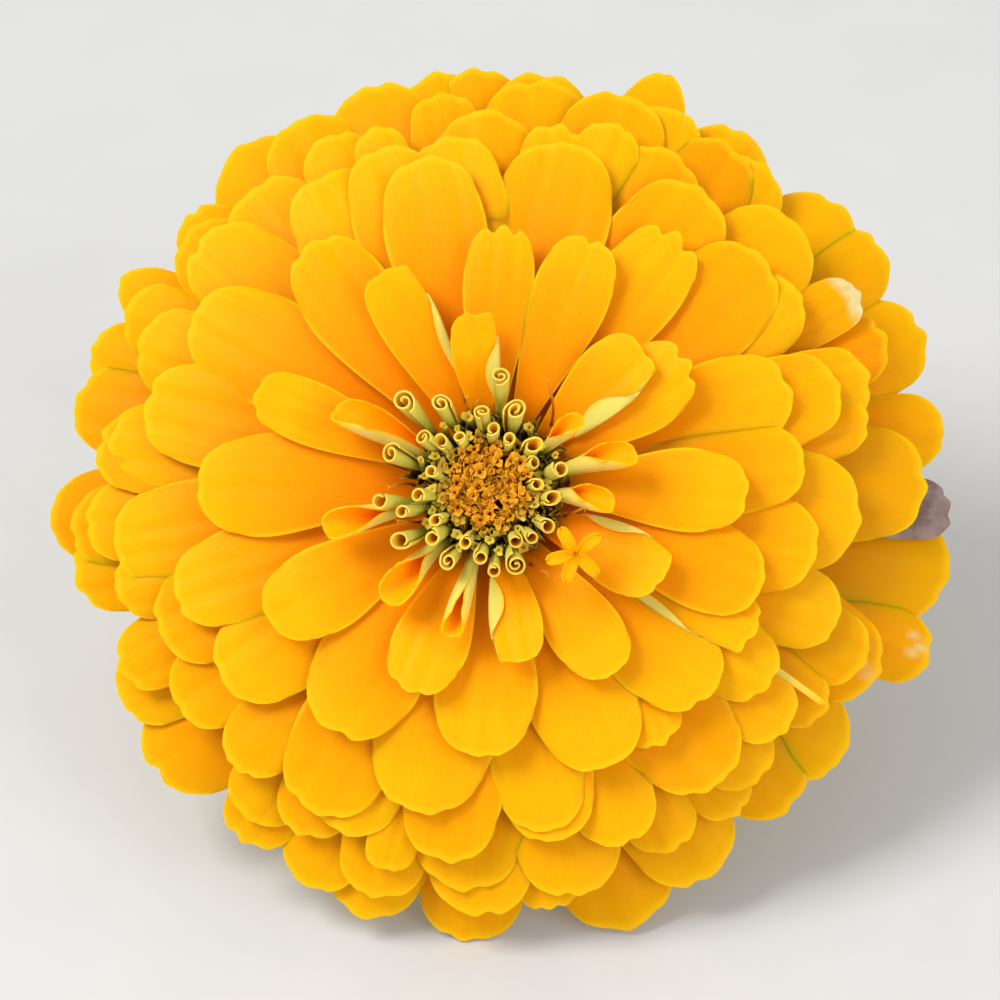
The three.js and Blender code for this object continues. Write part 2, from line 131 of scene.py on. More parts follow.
# Rolled young rays as (azimuth, distance of the mouth from the axis, width of the mouth, turns).
SCROLLS = [
    (136.5, 13, 2.6, 1.7), (121, 10.3, 2.1, 1.8), (83, 11.9, 2.3, 1.8), (95, 8, 2, 1.7),
    (69, 8.7, 2.4, 1.9), (85, 6.1, 1.6, 1.1), (145.7, 8.9, 2, 1.6), (138.7, 7.1, 1.6, 1.1),
    (122.7, 6.1, 1.5, 1.2), (64.8, 5.5, 1.5, 1.1), (39, 6.6, 2, 1.1), (164, 11.4, 2.3, 1.6),
    (169, 6.6, 1.5, 1.1), (23.3, 5.6, 1.5, 1.1), (9.3, 8.3, 1.9, 1.3), (357, 5.5, 1.5, 1.1),
    (345.5, 7.5, 1.8, 1.1), (190.8, 8.1, 1.7, 1.1), (190.9, 12.4, 1.9, 1),
    (199.8, 10.3, 1.6, 1.1), (216.4, 7.4, 1.5, 1.1), (322.5, 8.5, 1.8, 1.1),
    (214.6, 12, 2.1, 1.1), (225.5, 9, 1.8, 1.2), (249.7, 7.4, 1.5, 1.1), (294.5, 7.5, 1.7, 1.1),
    (307.7, 8.1, 1.6, 1.1), (243.7, 10.2, 2, 1.6), (264.4, 8.7, 1.7, 1.2),
    (273.8, 10.3, 1.6, 1.1), (288.4, 10.1, 2.5, 2.1),
]

# ---------------- helpers


def draw(i, k):
    """Seeded draw between -1 and 1 for item i and trait k."""
    wave = math.sin(i * 12.9898 + k * 78.233) * 43758.5453
    return 2 * (wave - math.floor(wave)) - 1


def lerp(a, b, share):
    return a + (b - a) * share


def smooth(low, high, x):
    """Soft step from 0 at low to 1 at high."""
    share = np.clip((np.asarray(x, float) - low) / (high - low), 0, 1)
    return share * share * (3 - 2 * share)


def polar(azimuth, distance, z):
    """Point or direction in flower coordinates."""
    turn = np.radians(azimuth)
    return np.stack(np.broadcast_arrays(distance * np.cos(turn), distance * np.sin(turn), z), -1)


AXIS = np.array((0, 0, 1.0))


def circle(count):
    """Azimuths evenly spaced all round."""
    return np.linspace(0, 360, count, endpoint=False)


def bearings(azimuth):
    """Unit directions away from the axis and to the left of that."""
    return polar(azimuth, 1.0, 0.0), polar(azimuth + 90, 1.0, 0.0)


def grid(rows, columns):
    """Places from 0 to 1 along a sheet and from -1 to 1 across it."""
    return np.meshgrid(np.linspace(0, 1, rows), np.linspace(-1, 1, columns), indexing="ij")


def linked(name, data):
    """A new object in the scene."""
    made = bpy.data.objects.new(name, data)
    bpy.context.scene.collection.objects.link(made)
    return made


def to_world(points):
    """Flower coordinates in millimetres to the part's frame in metres."""
    return (np.asarray(points, float) @ TURN.T + NECK) * MM


NEAR = 4  # height under which the surface bends a ray fully; from twice that, not at all


def held(points, height, softness=0.7):
    """Bends what would dip below a height over the surface that the flower lies on."""
    level = points @ UP + NECK[2] - height
    lifted = 0.5 * (level + np.sqrt(level**2 + softness**2))
    near = np.clip(1 - (level - NEAR) / NEAR, 0, 1)
    return points + ((lifted - level) * near)[..., None] * UP


def unit(v):
    return v / np.maximum(np.linalg.norm(v, axis=-1, keepdims=True), 1e-9)


TRAITS = ("along", "across", "under", "tone", "mark", "old", "fresh")
SHARP = math.radians(62)  # faces that meet at a wider angle have a crisp edge between them


class Shells:
    """Collects closed thin sheets and tubes, with traits for their looks, in one object.

    along and across run from 0 to 1 and from -1 to 1 on a sheet; under is 1 on its underside. tone
    varies the colour from sheet to sheet, mark paints a margin or a blemish, the age and shade
    trait darkens a ray by age and painted shade, and fresh keeps its underside green to the margin.
    """

    def __init__(self):
        self.points = []
        self.faces = []
        self.traits = {name: [] for name in TRAITS}
        self.count = 0

    def put(self, points, faces, **traits):
        """Adds points with faces that count from 0; a trait is one number or one for each point."""
        self.points.append(points)
        self.faces.extend(tuple(np.asarray(face) + self.count) for face in faces)
        for name in TRAITS:
            self.traits[name].append(np.broadcast_to(traits.get(name, 0.0), (len(points),)))
        self.count += len(points)

    def sheet(self, middle, thickness, along, across, turned=False, **traits):
        """A grid of middle points, thickened to both sides and closed all round."""
        rows, columns = middle.shape[:2]
        normal = unit(np.cross(np.gradient(middle, axis=0), np.gradient(middle, axis=1)))
        offset = normal * (np.broadcast_to(thickness, (rows, columns)) / 2)[..., None]
        half = rows * columns
        index = np.arange(half).reshape(rows, columns)
        a, b = index[:-1, :-1].ravel(), index[1:, :-1].ravel()
        c, d = index[1:, 1:].ravel(), index[:-1, 1:].ravel()
        face = np.c_[a, b, c, d]
        back = np.c_[a, d, c, b] + half
        edge = np.concatenate([index[0, :], index[1:, -1], index[-1, -2::-1], index[-2:0:-1, 0]])
        after = np.roll(edge, -1)
        rim = np.c_[edge, after, after + half, edge + half]
        points = np.concatenate([middle + offset, middle - offset]).reshape(-1, 3)
        both = lambda v: np.tile(np.broadcast_to(v, (rows, columns)).ravel(), 2)
        self.put(
            points,
            np.concatenate([face, back, rim]),
            along=both(along),
            across=both(across),
            under=np.repeat([float(turned), float(not turned)], half),
            **{name: both(value) for name, value in traits.items()},
        )

    def tube(self, rings, **traits):
        """Rings of points (rings, sides, 3), capped at both ends, with traits for each ring."""
        count, sides = rings.shape[:2]
        index = np.arange(count * sides).reshape(count, sides)
        after = np.roll(index, -1, axis=1)
        walls = np.stack([index[:-1], after[:-1], after[1:], index[1:]], -1).reshape(-1, 4)
        caps = [tuple(index[0, ::-1]), tuple(index[-1])]
        spread = {
            name: np.repeat(np.broadcast_to(value, (count,)), sides)
            for name, value in traits.items()
        }
        self.put(rings.reshape(-1, 3), list(walls) + caps, **spread)

    def thread(self, spine, radius, side, **traits):
        """A thin round tube along a line of points that keeps across a sideways direction."""
        turn = np.linspace(0, 2 * np.pi, 9)[:-1, None]
        tangent = unit(np.gradient(spine, axis=0))
        right = unit(np.cross(tangent, side))
        front = np.cross(right, tangent)
        rings = [
            point + r * (np.cos(turn) * x + np.sin(turn) * y)
            for point, r, x, y in zip(spine, radius, front, right)
        ]
        self.tube(np.array(rings), **traits)

    def make(self, name, material, slot, *nodes):
        """Makes the object, riding on the part, and hides the nodes it stands for; slot isn't used.
        """
        mesh = bpy.data.meshes.new(name)
        points = to_world(np.concatenate(self.points))
        mesh.from_pydata(points.tolist(), [], [list(map(int, face)) for face in self.faces])
        for trait, values in self.traits.items():
            layer = mesh.attributes.new(trait, "FLOAT", "POINT")
            layer.data.foreach_set("value", np.concatenate(values).astype(np.float32))
        mesh.polygons.foreach_set("use_smooth", np.ones(len(mesh.polygons), bool))
        mesh.set_sharp_from_angle(angle=SHARP)
        mesh.materials.append(material)
        piece = linked(name, mesh)
        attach(piece, "root")
        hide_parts(*nodes)


# ---------------- materials


class Look:
    """A node material around one Principled shader."""

    def __init__(self, name, **sockets):
        self.material = bpy.data.materials.new(name)
        self.material.use_nodes = True
        self.nodes = self.material.node_tree.nodes
        self.shader = self.nodes["Principled BSDF"]
        for socket, value in sockets.items():
            self.shader.inputs[socket.replace("_", " ")].default_value = value

    def link(self, source, target):
        if isinstance(source, (int, float, tuple)):
            target.default_value = source
        else:
            self.material.node_tree.links.new(source, target)

    def trait(self, name):
        node = self.nodes.new("ShaderNodeAttribute")
        node.attribute_name = name
        return node.outputs["Fac"]

    def math(self, operation, a, b=0.0, c=0.0, clamp=False):
        node = self.nodes.new("ShaderNodeMath")
        node.operation = operation
        node.use_clamp = clamp
        for source, target in zip((a, b, c), node.inputs):
            self.link(source, target)
        return node.outputs[0]

    def times(self, a, b):
        return self.math("MULTIPLY", a, b)

    def vary(self, base, value, amount):
        """The base, raised where the value is over 0.5 and lowered where it is under."""
        return self.math("MULTIPLY_ADD", self.math("SUBTRACT", value, 0.5), amount, base)

    def spread(self, value, low, high, to_low=0.0, to_high=1.0):
        """Soft step of a value between low and high."""
        node = self.nodes.new("ShaderNodeMapRange")
        node.interpolation_type = "SMOOTHSTEP"
        for source, target in zip((value, low, high, to_low, to_high), node.inputs):
            self.link(source, target)
        return node.outputs[0]

    def place(self):
        return self.nodes.new("ShaderNodeTexCoord").outputs["Object"]

    def noise(self, vector, scale, detail=3.0):
        node = self.nodes.new("ShaderNodeTexNoise")
        self.link(vector, node.inputs["Vector"])
        node.inputs["Scale"].default_value = scale
        node.inputs["Detail"].default_value = detail
        node.inputs["Roughness"].default_value = 0.55
        return node.outputs["Fac"]

    def grain(self, across, along, seed, scale, detail):
        """Noise drawn out along a sheet, other on each sheet; the first two say how fine it is."""
        node = self.nodes.new("ShaderNodeCombineXYZ")
        repeats = (("across", across), ("along", along), ("tone", seed))
        for (name, times), target in zip(repeats, node.inputs):
            self.link(self.times(self.trait(name), times), target)
        return self.noise(node.outputs[0], scale, detail)

    def ramp(self, value, stops):
        node = self.nodes.new("ShaderNodeValToRGB")
        self.link(value, node.inputs[0])
        elements = node.color_ramp.elements
        while len(elements) < len(stops):
            elements.new(0.5)
        for element, (place, colour) in zip(elements, stops):
            element.position = place
            element.color = (*colour, 1)
        return node.outputs[0]

    def mix(self, share, a, b):
        node = self.nodes.new("ShaderNodeMix")
        node.data_type = "RGBA"
        self.link(share, node.inputs["Factor"])
        for source, target in ((a, node.inputs[6]), (b, node.inputs[7])):
            self.link((*source, 1) if isinstance(source, tuple) else source, target)
        return node.outputs[2]

    def bump(self, height, strength, distance):
        node = self.nodes.new("ShaderNodeBump")
        node.inputs["Strength"].default_value = strength
        node.inputs["Distance"].default_value = distance
        self.link(height, node.inputs["Height"])
        self.link(node.outputs[0], self.shader.inputs["Normal"])

    def finish(self, colour, roughness):
        self.link(colour, self.shader.inputs["Base Color"])
        self.link(roughness, self.shader.inputs["Roughness"])
        return self.material


def petal_look():
    """Golden rays: orange base, yellow tip, fine veins, painted rim highlight, pale green back."""
    look = Look("petal", Subsurface_Weight=0.55, Subsurface_Radius=(1.0, 0.42, 0.06),
                Subsurface_Scale=0.0009, Specular_IOR_Level=0.05)
    along, mark, old = look.trait("along"), look.trait("mark"), look.trait("old")
    under = look.spread(look.trait("under"), 0.7, 1.0)
    veins = look.grain(9.0, 1.1, 37.0, 1.6, 2.0)
    streaks = look.grain(3.0, 0.8, 53.0, 1.2, 3.0)
    mottle = look.noise(look.place(), 900.0)
    ripe = look.vary(look.vary(along, streaks, 0.20), look.trait("tone"), 0.5)
    face = look.ramp(ripe, [
        (0.0, (0.98, 0.21, 0.0)), (0.4, (1.0, 0.28, 0.0)), (0.66, (1.0, 0.325, 0.0)),
        (0.86, (1.0, 0.37, 0.0)), (1.0, (1.0, 0.43, 0.001))])
    fine = look.spread(veins, 0.36, 0.64)
    face = look.mix(look.times(fine, 0.08), face, (0.95, 0.24, 0.0))
    face = look.mix(look.spread(mottle, 0.45, 0.8, 0.0, 0.10), face, (1.0, 0.44, 0.0))
    # Painted shade, with some age: the outer rays and those marked shade turn darker and browner.
    aged_and_shaded = look.math("MULTIPLY", old, 0.45, clamp=True)
    face = look.mix(aged_and_shaded, face, look.ramp(ripe, [
        (0.35, (0.64, 0.20, 0.0)), (0.6, (0.66, 0.30, 0.0)), (0.9, (0.66, 0.38, 0.0))]))
    back = look.ramp(along, [
        (0.0, (0.46, 0.43, 0.06)), (0.45, (0.68, 0.59, 0.12)), (0.8, (0.82, 0.62, 0.13)),
        (1.0, (0.96, 0.56, 0.03))])
    margin = look.math("ABSOLUTE", look.trait("across"))
    ripened = look.math("SUBTRACT", 1.0, look.trait("fresh"))
    golden = look.times(look.spread(margin, 0.5, 0.9), ripened)
    back = look.mix(golden, back, (1.0, 0.45, 0.006))
    colour = look.mix(under, face, back)
    # Painted highlight on the margins and tip, as a thin lit edge glows; less on aged, shaded rays.
    unaged_and_unshaded = look.math("MULTIPLY_ADD", old, -0.6, 1.0, clamp=True)
    rim = look.times(look.spread(margin, 0.9, 0.99), unaged_and_unshaded)
    tip = look.spread(along, 0.965, 0.995)
    light = look.times(look.math("MAXIMUM", rim, tip), 0.7)
    colour = look.mix(light, colour, (1.0, 0.51, 0.006))
    patches = look.noise(look.place(), 420.0)
    dry = look.mix(patches, (0.60, 0.44, 0.12), (0.84, 0.74, 0.42))
    withered = look.mix(look.spread(patches, 0.3, 0.7), (0.19, 0.13, 0.11), (0.33, 0.26, 0.23))
    dry = look.mix(look.spread(mark, 1.2, 1.8), dry, withered)
    colour = look.mix(mark, colour, dry)
    look.bump(look.math("ADD", veins, look.times(mottle, 0.25)), 0.14, 0.00025)
    return look.finish(colour, look.spread(veins, 0.2, 0.8, 0.42, 0.6))


def young_look():
    """Rolled young rays: yellow-green outside, golden inside, with light rims."""
    look = Look("young_petal", Subsurface_Weight=0.3, Subsurface_Radius=(0.8, 0.6, 0.12),
                Subsurface_Scale=0.0009, Specular_IOR_Level=0.25)
    along, under = look.trait("along"), look.trait("under")
    grain = look.grain(14.0, 1.0, 31.0, 1.5, 2.0)
    outside = look.ramp(look.vary(along, grain, 0.4), [
        (0.0, (0.22, 0.20, 0.015)), (0.45, (0.52, 0.49, 0.06)), (0.85, (0.70, 0.64, 0.10)),
        (1.0, (0.76, 0.62, 0.09))])
    # Painted shade: the inside darkens towards the foot, deep in the tube.
    inside = look.ramp(along, [
        (0.0, (0.36, 0.12, 0.0)), (0.6, (0.86, 0.46, 0.008)), (1.0, (0.98, 0.60, 0.03))])
    colour = look.mix(under, inside, outside)
    colour = look.mix(look.spread(along, 0.96, 0.995, 0.0, 0.8), colour, (0.90, 0.60, 0.08))
    look.bump(grain, 0.3, 0.0002)
    return look.finish(colour, look.spread(grain, 0.2, 0.8, 0.4, 0.58))


def chaff_look():
    """Fringed scales of the disc: maroon feet darkened by painted shade, orange-gold tips."""
    look = Look("chaff", Subsurface_Weight=0.2, Subsurface_Radius=(1.0, 0.4, 0.1),
                Subsurface_Scale=0.0005, Specular_IOR_Level=0.25)
    along, tone = look.trait("along"), look.trait("tone")
    grain = look.noise(look.place(), 1800.0)
    ripe = look.vary(along, grain, 0.35)
    # Both ramps fall to near black at the feet: painted shade in the gaps between the scales.
    bright = look.ramp(ripe, [
        (0.0, (0.05, 0.008, 0.006)), (0.45, (0.26, 0.05, 0.003)), (0.7, (0.62, 0.20, 0.002)),
        (1.0, (0.84, 0.40, 0.012))])
    dull = look.ramp(ripe, [
        (0.0, (0.05, 0.012, 0.012)), (0.5, (0.13, 0.09, 0.012)), (0.8, (0.30, 0.26, 0.022)),
        (1.0, (0.46, 0.37, 0.05))])
    look.bump(grain, 0.4, 0.0001)
    return look.finish(look.mix(tone, dull, bright), look.spread(grain, 0.3, 0.7, 0.5, 0.7))


def style_look():
    """Thin forked styles: orange-brown, paler towards the fork."""
    look = Look("style", Subsurface_Weight=0.15, Subsurface_Radius=(1.0, 0.4, 0.1),
                Subsurface_Scale=0.0004, Specular_IOR_Level=0.3)
    grain = look.noise(look.place(), 2200.0, 2.0)
    colour = look.ramp(look.vary(look.trait("along"), grain, 0.4), [
        (0.0, (0.28, 0.05, 0.004)), (0.6, (0.52, 0.15, 0.005)), (1.0, (0.78, 0.32, 0.01))])
    look.bump(grain, 0.2, 0.0001)
    return look.finish(colour, look.spread(grain, 0.3, 0.7, 0.45, 0.6))


def core_look():
    """Receptacle between the florets: dark maroon above in painted shade, straw-coloured below."""
    look = Look("receptacle")
    grain = look.noise(look.place(), 1200.0, 4.0)
    # Near black towards the top, where it shows between the florets: painted shade.
    colour = look.ramp(look.vary(look.trait("along"), grain, 0.3), [
        (0.0, (0.30, 0.30, 0.06)), (0.5, (0.34, 0.16, 0.02)), (0.85, (0.07, 0.016, 0.014)),
        (1.0, (0.045, 0.012, 0.014))])
    look.bump(grain, 0.5, 0.0003)
    return look.finish(colour, look.spread(grain, 0.3, 0.7, 0.6, 0.8))


def green_look(name, light, deep, margin):
    """Green tissue with lengthwise grain; the mark trait paints the margin colour."""
    look = Look(name, Subsurface_Weight=0.12, Subsurface_Radius=(0.4, 0.6, 0.1),
                Subsurface_Scale=0.0008, Specular_IOR_Level=0.4)
    grain = look.grain(22.0, 2.0, 1.0, 1.4, 3.0)
    mottle = look.noise(look.place(), 700.0, 4.0)
    colour = look.mix(look.spread(grain, 0.3, 0.7), deep, light)
    colour = look.mix(look.spread(mottle, 0.4, 0.75, 0.0, 0.4), colour, deep)
    colour = look.mix(look.trait("mark"), colour, margin)
    look.bump(look.math("ADD", grain, look.times(mottle, 0.4)), 0.4, 0.0003)
    return look.finish(colour, look.spread(mottle, 0.3, 0.7, 0.48, 0.66))


# ---------------- rays


# The middle line of a ray. Pairs give the value for the youngest and the oldest ray.
ROOT_DEPTH = 1.2
RISE = (66, 2)  # angle at the root, in degrees over the flat
DROOP = (30, -38)  # angle at the tip
ROOT_PULL = 0.38  # how far the root's angle is kept, as a share of the ray's length
TIP_PULL = 0.34


def core_radius(z):
    return lerp(CORE_WIDE, CORE_NARROW, np.clip((z - CORE_BOTTOM) / (CORE_TOP - CORE_BOTTOM), 0, 1))


def age_of(reach):
    """From 0 for the youngest ray to 1 for the oldest."""
    return min(max((reach - INNER_REACH) / (OUTER_REACH - INNER_REACH), 0), 1)


def dome_height(reach):
    return DOME_RISE * math.sqrt(1 - (reach / DOME_RADIUS) ** 2)


def ray_line(reach, order):
    """Control points of a ray's middle line, as (distance, height), and its length."""
    age = age_of(reach)
    root_height = lerp(CORE_TOP - ROOT_DEPTH, CORE_BOTTOM + ROOT_DEPTH, order)
    root = np.array((core_radius(root_height) - ROOT_DEPTH, root_height))
    tip = np.array((reach, dome_height(min(reach, LOWEST_REACH))))
    length = np.linalg.norm(tip - root)
    rise, droop = math.radians(lerp(*RISE, age)), math.radians(lerp(*DROOP, age))
    return np.array((
        root,
        root + ROOT_PULL * length * np.array((math.cos(rise), math.sin(rise))),
        tip - TIP_PULL * length * np.array((math.cos(droop), math.sin(droop))),
        tip,
    )), length


def bezier(controls, t):
    """Points and unit tangents of a cubic Bezier curve."""
    t = np.asarray(t, float)[..., None]
    a, b, c, d = controls
    point = (1 - t) ** 3 * a + 3 * (1 - t) ** 2 * t * b + 3 * (1 - t) * t**2 * c + t**3 * d
    tangent = 3 * (1 - t) ** 2 * (b - a) + 6 * (1 - t) * t * (c - b) + 3 * t**2 * (d - c)
    return point, unit(tangent)


RAY_ROWS = 30
RAY_COLUMNS = 27
FOLDED_COLUMNS = 45
ROW_CROWDING = 0.85  # under 1, the rows stand closer towards the tip
EDGE_CROWDING = 0.4  # over 0, the columns stand closer towards the margins
CLAW = 0.13  # half width at the root, as a share of the widest
WIDEST = 0.78  # place of the widest part along a ray
TIP_NARROWING = 0.09
ROUND_TIP, POINTED_TIP = (0.45, 2.2), (0.75, 1.8)  # depth, as a share of the width, and fullness
NOTCH_WIDTH = 0.15
ROOT_TROUGH = 0.36  # depth of the trough at the root, as a share of the half width
TIP_ARCH = 0.24  # the same for the arch of an old ray at the tip
UNEVEN = 0.07  # the same for the swell of the surface
CREASE = 0.20  # depth below a notch, in millimetres, as are the next three
RUFFLE = 0.28
TIP_SHIFT = 0.7
TURNED_LIFT = 0.8
TILT = 1.5  # in degrees
TWIST = 3
SWAY = 0.035  # of the tip to one side, as a share of the length
ROOT_THICKNESS, TIP_THICKNESS = 0.42, 0.24
FOLD_RADIUS = 0.26
FOLD_TURN = 3.25
FOLD_WIDTH = 0.38  # of a folded margin, as a share of the ray's width
SLIM_FOLD_WIDTH = 0.22
FOLD_PLACE = 0.6  # of the fold among the columns between the middle and the margin
NEIGHBOUR = 4.0  # rays whose reaches differ by less lap over each other by their margins
LAP = 0.13  # height of a lapping margin, as a share of the half width
ROLLED_WIDTH = 1.65  # of a rolled ray laid flat, against the width that it shows
ROLLED_LEAN = 0.75
HALF_TURNS = {"closed": (2.2, 1.75), "open": (1.5, 1.1)}  # of a rolled ray, at its root and tip
USUAL_HALF_TURNS = (2.15, 1.25)
HEM = (0.94, 0.965)  # where along a ray a bleached tip begins and is full
WITHERED = 2  # mark of a dry ray; a mark up to 1 is a pale one


# Notches of a tip as (place across the ray, depth in millimetres), where a word sets them.
NOTCHES = {"point": [], "roll": [], "split": [(0.05, 0.8)], "notch": [(-0.3, 1.2), (0.32, 1.0)],
           "lobes": [(-0.38, 0.9), (0.22, 1.0)]}


def tip_notches(i, words):
    """The notches of a ray's tip, one or two of them where no word sets them."""
    for word in words:
        if word in NOTCHES:
            return NOTCHES[word]
    if draw(i, 12) < -0.45:
        return [(0.3 * draw(i, 13), 0.38 + 0.26 * draw(i, 14))]
    middle = 0.15 * draw(i, 13)
    apart = 0.32 + 0.08 * draw(i, 17)
    return [(middle - apart, 0.24 + 0.2 * draw(i, 14)), (middle + apart, 0.24 + 0.2 * draw(i, 15))]


def tip_end(i, u, words, width, length):
    """Where a ray ends at each place across, as a share of its length, and its creases."""
    waves = lerp(0.6, 1.1, smooth(20, 40, length))
    depth, fullness = POINTED_TIP if "point" in words else ROUND_TIP
    round_end = 1 - np.sqrt(np.maximum(1 - np.abs(u) ** fullness, 0))
    end = 1 - depth * width / length * round_end
    ragged = 0.12 * np.sin(8 * u + 3 * draw(i, 18)) + 0.08 * np.sin(16 * u + 3 * draw(i, 19))
    end = end - waves * ragged * (1 - u**2) / length
    creases = 0 * u
    for place, depth in tip_notches(i, words):
        dent = np.exp(-(((u - place) / NOTCH_WIDTH) ** 2))
        end = end - depth / length * dent
        creases = creases + dent
    return end, creases


def folded(arc, flat):
    """Turns places across a flat ray into (sideways, height), its margin folded over."""
    beyond = np.maximum(arc - flat, 0)
    turn = np.minimum(beyond / FOLD_RADIUS, FOLD_TURN)
    rest = beyond - turn * FOLD_RADIUS
    sideways = np.minimum(arc, flat) + FOLD_RADIUS * np.sin(turn) + rest * np.cos(turn)
    return sideways, FOLD_RADIUS * (1 - np.cos(turn)) + rest * np.sin(turn)


def section(u, half, margin):
    """One side of a ray, u from its middle to its margin, with or without a folded margin."""
    if margin is None:
        return u * half, 0 * u
    beyond = np.maximum(u - FOLD_PLACE, 0) / (1 - FOLD_PLACE)
    return folded(np.minimum(u / FOLD_PLACE, 1) * half + beyond * margin, half)


def rolled(arc, half, t, tilt, closure):
    """The same for a ray rolled into a tube that opens towards its tip."""
    closure = math.pi * lerp(*closure, smooth(0.4, 1.0, t))
    radius = 2 * half / closure
    turn = arc / radius
    spiral = radius * (1 - 0.10 * arc / half * smooth(1.6 * math.pi, 2 * math.pi, closure))
    return spiral * np.sin(turn + tilt), radius - spiral * np.cos(turn + tilt)


def laps(row, everyone):
    """Whether a ray's margins, at (-side, +side), lie over (1) or under (-1) the neighbours'."""
    azimuth, reach, width = row[:3]
    found = {-1: (360, 0), 1: (360, 0)}
    for other in everyone:
        apart = (other[0] - azimuth + 180) % 360 - 180
        side = 1 if apart > 0 else -1
        meets = abs(apart) < 0.85 * math.degrees((width + other[2]) / 2 / reach)
        if other is row or not meets or abs(other[1] - reach) > NEIGHBOUR:
            continue
        over = side if other[1] == reach else math.copysign(1, other[1] - reach)
        found[side] = min(found[side], (abs(apart), over))
    return found[-1][1], found[1][1]


def blemishes(i, u, along, words):
    """Where a ray is bleached (up to 1) or withered (2)."""
    mark = 0 * along
    for k in range(3 * ("worn" in words) + ("spot" in words)):
        ahead = (along - 0.93 - 0.04 * draw(i, 31 + k)) / 0.014
        aside = (u - 0.2 - 0.5 * draw(i, 35 + k)) / 0.09
        mark = np.maximum(mark, 0.9 * np.exp(-(ahead**2) - aside**2))
    if "hem" in words:
        mark = smooth(*HEM, along)
    return mark + WITHERED * ("dry" in words)


def ray(shells, i, order, lapping, azimuth, reach, width, words=""):
    """One ray floret as a thin closed sheet."""
    words = words.split()
    controls, length = ray_line(reach, order)
    age = age_of(reach)
    fold_over = "left" in words or "right" in words
    v = np.linspace(-1, 1, FOLDED_COLUMNS if fold_over else RAY_COLUMNS)
    if not fold_over:
        v = (1 - EDGE_CROWDING) * v + EDGE_CROWDING * np.sin(np.pi / 2 * v)
    t, u = np.meshgrid(np.linspace(0, 1, RAY_ROWS) ** ROW_CROWDING, v, indexing="ij")
    if "roll" in words:
        width = width * ROLLED_WIDTH
    end, creases = tip_end(i, u, words, width, length)
    along = t * (1 - (1 - end) * t**3)
    shape = CLAW + (1 - CLAW) * smooth(-0.08, WIDEST, t) ** 0.85
    beyond = np.maximum(t - WIDEST, 0) / (1 - WIDEST)
    half = shape * (1 - TIP_NARROWING * beyond**2) * width / 2
    point, tangent = bezier(controls, along)

    if "roll" in words:
        tilt = ROLLED_LEAN * (("ccw" in words) - ("cw" in words)) + 0.2 * draw(i, 16)
        closure = next((HALF_TURNS[word] for word in words if word in HALF_TURNS), USUAL_HALF_TURNS)
        sideways, height = rolled(u * half, half, t, tilt, closure)
        loose = 0
    else:
        fold = width * (SLIM_FOLD_WIDTH if "slim" in words else FOLD_WIDTH)
        margin = fold * np.sin(np.pi * np.clip((t - 0.3) / 0.56, 0, 1)) + 0.15
        left, high_left = section(-np.minimum(u, 0), half, margin if "left" in words else None)
        right, high_right = section(np.maximum(u, 0), half, margin if "right" in words else None)
        sideways, height = right - left, high_left + high_right
        loose = 1
    edge = np.clip(sideways / np.maximum(half, 0.1), -1.2, 1.2)
    trough = lerp(ROOT_TROUGH, 0.0, smooth(0, 0.5, t)) - lerp(0, TIP_ARCH, smooth(0.4, 1, t)) * age
    height = height + loose * trough * edge**2 * half
    height = height - CREASE * creases * smooth(0.25, 0.9, t)
    height = height + UNEVEN * half * draw(i, 3) * np.sin(2.2 * edge + 1.5 * draw(i, 4)) * t**2
    ruffle = np.sin(7 * t + 3 * draw(i, 5) + 1.2 * edge) * np.abs(edge) ** 3 * t**2
    height = height + RUFFLE * loose * ruffle * (0.6 + 0.4 * draw(i, 6))
    lap = np.where(edge < 0, *lapping) * np.abs(edge) ** 1.5 * smooth(0.2, 0.7, t)
    height = height + LAP * loose * half * lap
    height = height + TIP_SHIFT * draw(i, 7) * t**3 * age + TURNED_LIFT * ("turned" in words) * t

    roll = math.radians(TILT * draw(i, 1)) + math.radians(TWIST * draw(i, 8)) * (t - 0.4)
    sway = SWAY * draw(i, 9) * length * t**2
    outward, side = bearings(azimuth)
    middle = point[..., :1] * outward + point[..., 1:] * AXIS
    lift = -tangent[..., 1:] * outward + tangent[..., :1] * AXIS
    cosine, sine = np.cos(roll)[..., None], np.sin(roll)[..., None]
    across = side * cosine + lift * sine
    upright = lift * cosine - side * sine
    place = middle + across * (sideways + sway)[..., None] + upright * height[..., None]
    rests = azimuth in RESTING_RAYS and reach > RESTING_REACH
    place = held(place, RESTING_CLEARANCE if rests else CLEARANCE)

    tone = 0.5 + 0.22 * draw(i, 10) - 0.4 * ("orange" in words) + 0.25 * ("pale" in words)
    tone = tone + 0.6 * (0.72 - age)
    thick = lerp(ROOT_THICKNESS, TIP_THICKNESS, t) * (1 - 0.55 * np.abs(u) ** 4)
    # Outer rays: some age, some painted shade; shade adds painted shade, strongest at the root.
    old = smooth(40, 54, reach) + ("shade" in words) * (1.1 - 0.7 * t**3)
    turned = "turned" in words
    fresh = float(turned or fold_over or "roll" in words)
    shells.sheet(place, thick, t, u, turned, tone=tone, mark=blemishes(i, u, along, words),
                 old=old, fresh=fresh)


def rays(petal):
    """Every half-rolled and open ray, one object for each whorl."""
    groups = [("half_rolled_rays", HALF_ROLLED_RAYS)]
    groups += [(f"ray_whorl_{n + 1}", whorl) for n, whorl in enumerate(WHORLS)]
    everyone = sorted((row for _, rows in groups for row in rows), key=lambda row: row[1])
    for name, rows in groups:
        shells = Shells()
        for row in rows:
            i = everyone.index(row)
            ray(shells, i, i / (len(everyone) - 1), laps(row, everyone), *row)
        shells.make(name, petal, "ray_petal", "ray_florets")


# ---------------- centre


SCROLL_ROWS = 18
SCROLL_FOOT = 5.6  # farthest place of a foot from the axis
SCROLL_THICKNESS = 0.25
SCROLL_OVAL = 0.94
OVERLAP = 0.55  # turns after which the sheet winds inwards
WOUND_RAY = 1.3  # a scroll of more turns than this is wound tightly


